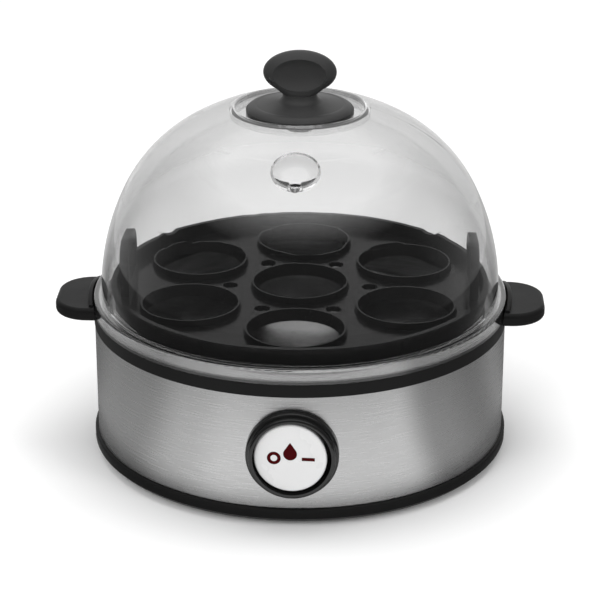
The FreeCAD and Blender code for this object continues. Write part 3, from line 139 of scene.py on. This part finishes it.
def soft_box(name, place, width, height, watts):
    """A rectangular lamp at a place, facing the middle of the cooker."""
    lamp = bpy.data.lights.new(name, "AREA")
    lamp.shape = "RECTANGLE"
    lamp.size = width
    lamp.size_y = height
    lamp.energy = watts
    holder = bpy.data.objects.new(name, lamp)
    bpy.context.scene.collection.objects.link(holder)
    holder.location = place
    holder.rotation_euler = facing(place, LAMP_TARGET)
    holder.visible_glossy = False
    holder.visible_transmission = False


soft_box("key_box", (-0.55, -1.15, 0.95), width=0.7, height=0.9, watts=7.0)
soft_box("fill_box", (1.0, -0.8, 0.75), width=0.35, height=0.9, watts=3.5)
soft_box("top_box", (0.0, 0.25, 1.4), width=1.2, height=0.8, watts=6.0)
print("lamps:", [light.name for light in bpy.data.lights])

# %% [markdown]
# ## The floor
# The floor is white paper. It could be made as bright as the background with
# more lamps, but those would light the cooker too. So a little glow, shown
# only where the world is white too, lifts it to the colour of the background
# and leaves the shadow of the cooker on it. The glow is weak close to the
# cooker, which paints a darker shadow on the paper round the base, and strong
# far away, where the lamps don't reach.

# %% Floor
FLOOR_REACH = 5.0
SHADOW_START, SHADOW_END = 0.083, 0.130
SHADOW_GLOW, PAPER_GLOW = 0.05, 0.22
FAR_START, FAR_END = 0.60, 2.00
FAR_GLOW = 0.26


def grey(level):
    """A neutral colour of the given linear level."""
    return (level, level, level, 1.0)


def flat_strip(name, columns, place):
    """A strip of faces; place turns two arrays of 0..1, across and along it, into x, y and z."""
    across, along = np.meshgrid([0.0, 1.0], np.linspace(0, 1, columns + 1), indexing="ij")
    points = np.stack(np.broadcast_arrays(*place(across, along)), axis=-1).reshape(-1, 3)
    first = np.arange(columns)
    faces = np.stack([first, first + 1, first + columns + 2, first + columns + 1], axis=1)
    mesh = bpy.data.meshes.new(name)
    mesh.from_pydata(points.tolist(), [], faces.tolist())
    sheet = bpy.data.objects.new(name, mesh)
    bpy.context.scene.collection.objects.link(sheet)
    return sheet


def new_finish(name, constants):
    """A material, its node tree and its Principled shader with some sockets set."""
    material = bpy.data.materials.new(name)
    material.use_nodes = True
    shader = material.node_tree.nodes["Principled BSDF"]
    for socket, value in constants.items():
        shader.inputs[socket].default_value = value
    return material, material.node_tree, shader


floor = flat_strip("paper_floor", 1, lambda across, along: (
    FLOOR_REACH * (2 * along - 1), FLOOR_REACH * (2 * across - 1), 0.0))
paper, paper_tree, paper_shader = new_finish("white_paper", {
    "Base Color": grey(0.9), "Roughness": 0.9, "Specular IOR Level": 0.0,
    "Emission Color": WHITE})
paper_place = paper_tree.nodes.new("ShaderNodeTexCoord")
paper_reach = paper_tree.nodes.new("ShaderNodeVectorMath")
paper_reach.operation = "LENGTH"
feed(paper_tree, paper_place.outputs["Object"], paper_reach.inputs[0])
distance = paper_reach.outputs["Value"]
# Painted shadow: less glow close to the cooker darkens the paper round its base.
painted_shadow_glow = mapped(
    paper_tree, distance, SHADOW_START, SHADOW_END, SHADOW_GLOW, PAPER_GLOW, "SMOOTHSTEP")
far_glow = mapped(paper_tree, distance, FAR_START, FAR_END, 0.0, FAR_GLOW, "SMOOTHSTEP")
glow_sum = math_of(paper_tree, "ADD", painted_shadow_glow, far_glow)
paper_glow = math_of(paper_tree, "MULTIPLY", shown_rays(paper_tree), glow_sum)
feed(paper_tree, paper_glow, paper_shader.inputs["Emission Strength"])
floor.data.materials.append(paper)
print("floor:", floor.name)

# %% [markdown]
# ## What the shiny surfaces mirror
# Steel and clear plastic look like their surroundings. In a room that is
# white all round, a steel band has no edges and a clear dome lies under a
# milky veil. So a tall curtain stands round the cooker, and rings of card
# lie on the paper. Only mirror reflections meet them. The curtain is dark
# in front, where the dome mirrors it, and grey behind, where the outline of
# the dome does, and it fades out towards its top. The broad ring shades the
# steel from the front to the back. The dark mat inside it is painted shadow:
# the base and the foot of the steel mirror it in place of the shaded paper
# next to the base. The dark mat outside the ring keeps the dome clear. The
# inner face of the lid mirrors the room as the outer face does, but that
# light leaves through the wall, so curtain and outer mat show to such rays
# too. A ray that has met no mirror on its way passes through the card, so a
# look through the lid finds the white room.

# %% Curtain and rings
CURTAIN_RADIUS, CURTAIN_HEIGHT = 0.50, 0.80
MAT_START, RING_START, RING_END = 0.0835, 0.097, 0.215
FADE_START = 0.40
CARD_LIFT = 0.0004
ROUND_STEPS = 96
HALF_TURN, FULL_TURN = 180.0, 360.0
MIRRORED_ONCE = 0.5


def glow_round(name, stops):
    """A card whose glow is set by direction, in degrees from the front, for mirrored rays only.

    The direction is the arc tangent of x over -y, so it is 0 in front and grows to the right.
    """
    material = bpy.data.materials.new(name)
    material.use_nodes = True
    tree = material.node_tree
    tree.nodes.remove(tree.nodes["Principled BSDF"])
    place = tree.nodes.new("ShaderNodeTexCoord")
    parts = tree.nodes.new("ShaderNodeSeparateXYZ")
    feed(tree, place.outputs["Object"], parts.inputs["Vector"])
    front = math_of(tree, "MULTIPLY", parts.outputs["Y"], -1.0)
    turn = math_of(tree, "ARCTAN2", parts.outputs["X"], front)
    ramp = tree.nodes.new("ShaderNodeValToRGB")
    ramp.color_ramp.interpolation = "EASE"
    points = ramp.color_ramp.elements
    while len(points) < len(stops):
        points.new(0.5)
    for point, (angle, level) in zip(points, sorted(stops.items())):
        point.position = (angle + HALF_TURN) / FULL_TURN
        point.color = grey(level)
    feed(tree, mapped(tree, turn, -np.pi, np.pi, 0.0, 1.0), ramp.inputs["Fac"])
    glow = tree.nodes.new("ShaderNodeEmission")
    feed(tree, ramp.outputs["Color"], glow.inputs["Color"])
    rays = tree.nodes.new("ShaderNodeLightPath").outputs
    mirrored = math_of(tree, "GREATER_THAN", rays["Glossy Depth"], MIRRORED_ONCE)
    fade = mapped(tree, parts.outputs["Z"], FADE_START, CURTAIN_HEIGHT, 1.0, 0.0)
    clear = tree.nodes.new("ShaderNodeBsdfTransparent")
    blend = tree.nodes.new("ShaderNodeMixShader")
    feed(tree, math_of(tree, "MULTIPLY", mirrored, fade), blend.inputs["Fac"])
    feed(tree, clear.outputs["BSDF"], blend.inputs[1])
    feed(tree, glow.outputs["Emission"], blend.inputs[2])
    feed(tree, blend.outputs["Shader"], tree.nodes["Material Output"].inputs["Surface"])
    return material


def turned_sheet(name, first_circle, last_circle):
    """A strip round the vertical axis between two circles, each a radius and a height.

    x is the radius times the sine of the angle, and y is minus the radius times its cosine.
    """
    (first_radius, first_height), (last_radius, last_height) = first_circle, last_circle

    def place(across, along):
        radius = first_radius + (last_radius - first_radius) * across
        height = first_height + (last_height - first_height) * across
        angle = 2 * np.pi * along
        return radius * np.sin(angle), -radius * np.cos(angle), height

    return flat_strip(name, ROUND_STEPS, place)


def lying_ring(name, inner, outer):
    """A flat ring of card between two radii, just above the paper."""
    return turned_sheet(name, (inner, CARD_LIFT), (outer, CARD_LIFT))


def mirrored_only(sheet, material, through_lid=False):
    """Dress a card and show it to mirror reflections, and on request through the lid."""
    sheet.data.materials.append(material)
    sheet.visible_camera = False
    sheet.visible_diffuse = False
    sheet.visible_transmission = through_lid
    sheet.visible_shadow = False


curtain_grey = glow_round("curtain_grey", {
    -180: 0.80, -152: 0.74, -115: 0.24, -70: 0.06, 0: 0.05,
    70: 0.06, 115: 0.20, 152: 0.70, 180: 0.80})
# Painted shadow: a dark mat that the base mirrors, in place of the shaded paper beside it.
painted_shadow_grey = glow_round("painted_shadow_grey", {
    -180: 0.14, -85: 0.14, -40: 0.03, 40: 0.03, 85: 0.14, 180: 0.14})
outer_grey = glow_round("outer_grey", {
    -180: 0.65, -152: 0.60, -118: 0.08, -75: 0.04, 0: 0.03,
    75: 0.04, 118: 0.08, 152: 0.50, 180: 0.65})
ring_grey = glow_round("ring_grey", {
    -180: 0.60, -150: 0.50, -125: 0.18, -90: 0.36, -68: 0.40, -45: 0.78, -25: 1.05,
    35: 1.0, 42: 1.02, 58: 0.42, 90: 0.26, 108: 0.34, 130: 0.18, 150: 0.50, 180: 0.60})
curtain = turned_sheet("curtain", (CURTAIN_RADIUS, 0.0), (CURTAIN_RADIUS, CURTAIN_HEIGHT))
mirrored_only(curtain, curtain_grey, through_lid=True)
mirrored_only(lying_ring("painted_shadow_mat", MAT_START, RING_START), painted_shadow_grey)
mirrored_only(lying_ring("ring_card", RING_START, RING_END), ring_grey)
mirrored_only(lying_ring("outer_mat", RING_END, CURTAIN_RADIUS), outer_grey, through_lid=True)
print("mirrored cards: a curtain and three rings on the paper")

# %% [markdown]
# ## The grain of moulded plastic
# Every moulded part has a faint grain from its mould and a slow drift in
# colour and gloss. Each material could hold nodes of its own for that, but
# many plastics share it, so it is a node group, built once and placed in each
# material with values of its own. It reads Object coordinates, which are
# metres in the frame of the cooker, so a grain of 0.5 mm is 2000 per metre on
# every piece.

# %% Moulded grain
SURFACE_OUTPUTS = {"Color": "NodeSocketColor", "Roughness": "NodeSocketFloat",
                   "Height": "NodeSocketFloat"}
DRIFT_PER_METRE = 38.0


def open_group(name, inputs):
    """A node group with colour or plain inputs, which puts out colour, roughness and height."""
    group = bpy.data.node_groups.new(name, "ShaderNodeTree")
    for label, start in inputs.items():
        kind = "NodeSocketColor" if isinstance(start, tuple) else "NodeSocketFloat"
        socket = group.interface.new_socket(label, in_out="INPUT", socket_type=kind)
        socket.default_value = start
    for label, kind in SURFACE_OUTPUTS.items():
        group.interface.new_socket(label, in_out="OUTPUT", socket_type=kind)
    entry = group.nodes.new("NodeGroupInput").outputs
    result = group.nodes.new("NodeGroupOutput").inputs
    place = group.nodes.new("ShaderNodeTexCoord").outputs["Object"]
    return group, entry, result, place


def noise_in(group, place, scale, detail, roughness=0.5):
    """The output of a noise texture in a group, read at a place."""
    noise = group.nodes.new("ShaderNodeTexNoise")
    feed(group, place, noise.inputs["Vector"])
    feed(group, scale, noise.inputs["Scale"])
    feed(group, detail, noise.inputs["Detail"])
    feed(group, roughness, noise.inputs["Roughness"])
    return noise.outputs["Fac"]


def shade_by(group, entry, result, noise, start, end):
    """A noise draws the colour from Deep to Pale, and the roughness from Gloss low to high."""
    tone = group.nodes.new("ShaderNodeMix")
    tone.data_type = "RGBA"
    feed(group, noise, tone.inputs["Factor"])
    feed(group, entry["Deep"], tone.inputs["A"])
    feed(group, entry["Pale"], tone.inputs["B"])
    gloss = mapped(group, noise, start, end, entry["Gloss low"], entry["Gloss high"])
    feed(group, tone.outputs["Result"], result["Color"])
    feed(group, gloss, result["Roughness"])


grain_group, grain_in, grain_out, grain_place = open_group("moulded_grain", {
    "Deep": grey(0.01), "Pale": grey(0.02), "Grain per metre": 1500.0,
    "Gloss low": 0.3, "Gloss high": 0.4})
fine_grain = noise_in(grain_group, grain_place, grain_in["Grain per metre"], detail=2.0)
slow_drift = noise_in(grain_group, grain_place, DRIFT_PER_METRE, detail=4.0, roughness=0.6)
shade_by(grain_group, grain_in, grain_out, slow_drift, start=0.32, end=0.68)
feed(grain_group, fine_grain, grain_out["Height"])
print("group:", grain_group.name)

# %% [markdown]
# ## The lines of brushed metal
# The sleeve was brushed round its axis, and other metal parts carry fine
# lines from rolling. Single scratches could be drawn, but a noise that is
# stretched along X and Y and packed tightly along Z gives such lines on any
# piece. It is a node group too, so each metal sets its own lengths.

# %% Brushed lines
brush_group, brush_in, brush_out, brush_place = open_group("brushed_lines", {
    "Deep": grey(0.4), "Pale": grey(0.6), "Along": 14.0, "Across": 5200.0,
    "Gloss low": 0.25, "Gloss high": 0.4})
brush_stretch = brush_group.nodes.new("ShaderNodeCombineXYZ")
for axis, label in (("X", "Along"), ("Y", "Along"), ("Z", "Across")):
    feed(brush_group, brush_in[label], brush_stretch.inputs[axis])
brush_scaled = brush_group.nodes.new("ShaderNodeVectorMath")
brush_scaled.operation = "MULTIPLY"
feed(brush_group, brush_place, brush_scaled.inputs[0])
feed(brush_group, brush_stretch.outputs["Vector"], brush_scaled.inputs[1])
brush_lines = noise_in(
    brush_group, brush_scaled.outputs["Vector"], 1.0, detail=3.0, roughness=0.65)
shade_by(brush_group, brush_in, brush_out, brush_lines, start=0.3, end=0.7)
feed(brush_group, brush_lines, brush_out["Height"])
print("group:", brush_group.name)

# %% [markdown]
# ## Moulded finishes
# A finish is one Principled shader. What is the same all over a surface is
# set on the shader's own socket, and what changes over the surface comes
# from a group: its colour, its roughness and the height of its bump. The
# black plastics differ mostly in gloss: the ring is satin, the tray smoother
# and the bezel of the switch polished. The knob's copy of the black plastic
# is painted lighter, for the light that falls on the knob from above. A low
# sheen keeps them black under a white room.

# %% Moulded finishes
GRAIN_DEPTH = 0.0002
PLAIN_SHEEN = 0.5
finishes = {}


def rgb(red, green, blue):
    """A colour from its linear parts."""
    return (red, green, blue, 1.0)


def place_group(tree, shader, group, values):
    """Place a group in a material with values of its own, for its colour and roughness."""
    effect = tree.nodes.new("ShaderNodeGroup")
    effect.node_tree = group
    for label, value in values.items():
        effect.inputs[label].default_value = value
    feed(tree, effect.outputs["Color"], shader.inputs["Base Color"])
    feed(tree, effect.outputs["Roughness"], shader.inputs["Roughness"])
    return effect


def raise_relief(tree, shader, effect, bump, depth):
    """The height that a placed group puts out becomes a bump, up to a depth in metres."""
    relief = tree.nodes.new("ShaderNodeBump")
    relief.inputs["Strength"].default_value = bump
    relief.inputs["Distance"].default_value = depth
    feed(tree, effect.outputs["Height"], relief.inputs["Height"])
    feed(tree, relief.outputs["Normal"], shader.inputs["Normal"])


def moulded(name, deep, pale, gloss, grain, bump, sheen=PLAIN_SHEEN):
    """A moulded finish of two tones; gloss is its least and most roughness, grain per metre."""
    finishes[name], tree, shader = new_finish(name, {"Specular IOR Level": sheen})
    effect = place_group(tree, shader, grain_group, {
        "Deep": deep, "Pale": pale, "Grain per metre": grain,
        "Gloss low": gloss[0], "Gloss high": gloss[1]})
    raise_relief(tree, shader, effect, bump, GRAIN_DEPTH)


moulded("black_plastic", grey(0.008), grey(0.012), gloss=(0.32, 0.44),
        grain=2600.0, bump=0.10, sheen=0.10)
# Painted light: the knob's black is made lighter, for the light that falls on it from above.
moulded("knob_plastic_painted_light", grey(0.034), grey(0.044), gloss=(0.34, 0.44),
        grain=2600.0, bump=0.10, sheen=0.18)
moulded("gloss_plastic", grey(0.008), grey(0.012), gloss=(0.10, 0.18),
        grain=2600.0, bump=0.03)
moulded("tray_plastic", grey(0.005), grey(0.008), gloss=(0.16, 0.24),
        grain=2200.0, bump=0.05, sheen=0.15)
moulded("white_plastic", grey(0.72), grey(0.745), gloss=(0.22, 0.32),
        grain=2600.0, bump=0.05)
moulded("mark_red", rgb(0.046, 0.000, 0.001), rgb(0.060, 0.001, 0.002), gloss=(0.3, 0.4),
        grain=3000.0, bump=0.05, sheen=0.05)
moulded("black_rubber", grey(0.012), grey(0.022), gloss=(0.65, 0.80),
        grain=1800.0, bump=0.20)
moulded("silicone", rgb(0.42, 0.16, 0.10), rgb(0.48, 0.19, 0.12), gloss=(0.45, 0.6),
        grain=1500.0, bump=0.08)
moulded("moulded_phenolic", rgb(0.030, 0.020, 0.014), rgb(0.046, 0.030, 0.020),
        gloss=(0.35, 0.5), grain=2400.0, bump=0.12)
moulded("fuse_case", rgb(0.60, 0.58, 0.52), rgb(0.68, 0.66, 0.60), gloss=(0.3, 0.45),
        grain=2400.0, bump=0.08)
moulded("brown_sheath", rgb(0.11, 0.045, 0.020), rgb(0.15, 0.060, 0.028), gloss=(0.4, 0.55),
        grain=2400.0, bump=0.08)
moulded("blue_sheath", rgb(0.020, 0.085, 0.30), rgb(0.030, 0.11, 0.36), gloss=(0.4, 0.55),
        grain=2400.0, bump=0.08)
moulded("earth_sheath", rgb(0.10, 0.26, 0.03), rgb(0.55, 0.50, 0.05), gloss=(0.4, 0.55),
        grain=2400.0, bump=0.08)
print("moulded finishes:", sorted(finishes))

# %% [markdown]
# ## Metal finishes
# The sleeve is brushed stainless steel, the water dish is pressed and bright,
# and the screws and tabs inside are plated. A metal could be a plain mirror
# with some roughness, but brushing draws each highlight out across its lines,
# so the shader is also anisotropic, with its tangent round the vertical axis.

# %% Metal finishes
LINE_DEPTH = 0.00005
ACROSS_THE_LINES = 0.25


def metal(name, deep, pale, along, across, gloss, bump, pull):
    """A metal finish; along and across are lines per metre, and pull draws highlights out."""
    finishes[name], tree, shader = new_finish(name, {
        "Metallic": 1.0, "Anisotropic": pull, "Anisotropic Rotation": ACROSS_THE_LINES})
    effect = place_group(tree, shader, brush_group, {
        "Deep": deep, "Pale": pale, "Along": along, "Across": across,
        "Gloss low": gloss[0], "Gloss high": gloss[1]})
    raise_relief(tree, shader, effect, bump, LINE_DEPTH)
    tangent = tree.nodes.new("ShaderNodeTangent")
    tangent.direction_type = "RADIAL"
    tangent.axis = "Z"
    feed(tree, tangent.outputs["Tangent"], shader.inputs["Tangent"])
    return name


metals = [
    metal("brushed_steel", grey(0.55), grey(0.75), along=90.0, across=3000.0,
          gloss=(0.24, 0.36), bump=0.06, pull=0.7),
    metal("dish_steel", grey(0.50), grey(0.62), along=60.0, across=900.0,
          gloss=(0.16, 0.26), bump=0.04, pull=0.3),
    metal("aluminium", grey(0.62), grey(0.74), along=80.0, across=800.0,
          gloss=(0.35, 0.50), bump=0.05, pull=0.2),
    metal("plated_steel", grey(0.50), grey(0.60), along=300.0, across=300.0,
          gloss=(0.22, 0.36), bump=0.04, pull=0.0),
    metal("element_sheath", grey(0.16), grey(0.24), along=300.0, across=300.0,
          gloss=(0.40, 0.55), bump=0.06, pull=0.0),
    metal("brass", rgb(0.62, 0.42, 0.16), rgb(0.72, 0.50, 0.20), along=300.0, across=300.0,
          gloss=(0.25, 0.4), bump=0.04, pull=0.0),
]
print("metal finishes:", metals)

# %% [markdown]
# ## The clear lid
# The lid is clear polystyrene or polycarbonate about 2 mm thick. A shader
# with full transmission bends the light through both walls, which draws the
# grey lines at the rim, at the knob's well and at the steam vent. A path
# tracer would leave the inside dark, because it finds no lamp through
# bending glass, so for shadow rays the wall is a plain transparent shader
# instead. Light that still meets the wall after more than two bounces goes
# straight on too, because a path tracer would cut it off soon after and draw
# the wall as a black band. A clear coat adds the gloss of the polished mould.

# %% Clear finishes
TRAPPED_AFTER = 2.5
CLEAR_GLOSS = 0.03
PALE_SHARE = 1.02
ABSORBED = grey(0.5)


def clear_finish(name, tint, straight_tint, density, constants):
    """Clear plastic or glass that lets lamplight through and greys with its depth in metres."""
    material, tree, shader = new_finish(name, {"Transmission Weight": 1.0, **constants})
    place_group(tree, shader, grain_group, {
        "Deep": tint, "Pale": tuple(min(1.0, part * PALE_SHARE) for part in tint),
        "Gloss low": 0.0, "Gloss high": CLEAR_GLOSS})
    depth = tree.nodes.new("ShaderNodeVolumeAbsorption")
    depth.inputs["Color"].default_value = ABSORBED
    depth.inputs["Density"].default_value = density
    straight = tree.nodes.new("ShaderNodeBsdfTransparent")
    straight.inputs["Color"].default_value = straight_tint
    rays = tree.nodes.new("ShaderNodeLightPath").outputs
    trapped = math_of(tree, "GREATER_THAN", rays["Ray Depth"], TRAPPED_AFTER)
    blend = tree.nodes.new("ShaderNodeMixShader")
    feed(tree, math_of(tree, "MAXIMUM", rays["Is Shadow Ray"], trapped), blend.inputs["Fac"])
    feed(tree, shader.outputs["BSDF"], blend.inputs[1])
    feed(tree, straight.outputs["BSDF"], blend.inputs[2])
    output = tree.nodes["Material Output"]
    feed(tree, blend.outputs["Shader"], output.inputs["Surface"])
    feed(tree, depth.outputs["Volume"], output.inputs["Volume"])
    return material


finishes["clear_plastic"] = clear_finish(
    "clear_plastic", grey(0.91), grey(0.88), 20.0,
    {"IOR": 1.50, "Coat Weight": 1.0, "Coat IOR": 1.5, "Coat Roughness": 0.02})
finishes["lamp_glass"] = clear_finish(
    "lamp_glass", rgb(0.95, 0.42, 0.22), rgb(0.95, 0.5, 0.3), 10.0, {"IOR": 1.50})
print("clear finishes: clear_plastic, lamp_glass")

# %% [markdown]
# ## Dressing the pieces
# The record says which finish each CAD piece takes, so each piece gets the
# material of the same name. The knob is moulded from the same black plastic
# as the ring, but its finish is a copy painted lighter, for the light that
# falls on it from above, and the bezel of the switch is polished, so each of
# the two has its own finish.

# %% Dress the CAD pieces
slot_of = {entry["node"]: entry["material_slot"] for entry in frame["record"]["subparts"]}
own_finish = {"lid_knob": "knob_plastic_painted_light", "switch_bezel": "gloss_plastic"}
finish_of = {**slot_of, **own_finish}
for name, piece in nodes.items():
    piece.data.materials.clear()
    piece.data.materials.append(finishes[finish_of[name]])
print("dressed:", len(finish_of), "pieces in", len(set(finish_of.values())), "finishes")
